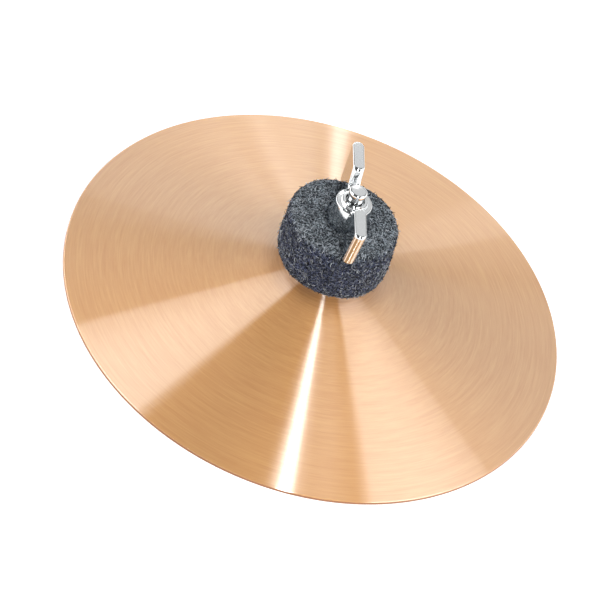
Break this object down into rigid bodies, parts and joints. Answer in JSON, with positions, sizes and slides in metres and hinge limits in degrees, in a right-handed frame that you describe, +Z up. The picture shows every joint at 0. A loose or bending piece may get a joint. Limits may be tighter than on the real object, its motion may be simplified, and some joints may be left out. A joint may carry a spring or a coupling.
{
  "type": "cup chime",
  "caption": "Shallow conical bronze cup chime clamped between wool felts on a threaded stud, with a wing nut above and a coupling nut for a stand below.",
  "frame": {"origin": "centre of the plane that the chime's rim rests on", "axes": "+Z up along the stud, -Y towards the viewer of the picture"},
  "size_m": [0.165, 0.165, 0.0532],
  "materials": {
    "bronze": "lathe-turned, satin, with fine concentric grooves",
    "upper_wool": "pressed wool felt, mottled",
    "lower_wool": "pressed wool felt, mottled",
    "nut_chrome": "bright chrome on cast zinc",
    "stud_steel": "bright zinc-plated thread",
    "nut_washer_steel": "zinc-plated",
    "lower_washer_steel": "zinc-plated",
    "coupling_steel": "zinc-plated",
    "nylon": "natural nylon"
  },
  "bodies": {
    "mount": {"stud": "stud_steel", "coupling_nut": "coupling_steel", "lower_washer": "lower_washer_steel", "sleeve": "nylon"},
    "lower_pad": {"lower_felt": "lower_wool"},
    "chime": {"chime": "bronze"},
    "upper_pad": {"upper_felt": "upper_wool"},
    "nut_seat": {"nut_washer": "nut_washer_steel"},
    "wing_nut": {"wing_nut": "nut_chrome"}
  },
  "joints": [
    {"name": "chime_turn", "type": "hinge", "parent": "mount", "child": "lower_pad", "pos_m": [0, 0, 0.0179], "axis": [0, 0, 1], "continuous": true},
    {"name": "chime_rock", "type": "hinge", "parent": "lower_pad", "child": "chime", "pos_m": [0, 0, 0.0179], "axis": [1, 0, 0], "range_deg": [-1.5, 1.5], "stiffness_Nm_per_rad": 0.4},
    {"name": "upper_felt_turn", "type": "hinge", "parent": "chime", "child": "upper_pad", "pos_m": [0, 0, 0.0206], "axis": [0, 0, 1], "continuous": true},
    {"name": "wing_nut_rise", "type": "slide", "parent": "mount", "child": "nut_seat", "axis": [0, 0, 1], "range_m": [0, 0.01]},
    {"name": "wing_nut_turn", "type": "hinge", "parent": "nut_seat", "child": "wing_nut", "pos_m": [0, 0, 0.0409], "axis": [0, 0, 1], "range_deg": [0, 3600]}
  ],
  "couplings": [
    {"joint": "wing_nut_rise", "follows": "wing_nut_turn", "m_per_rad": 0.00015915}
  ]
}
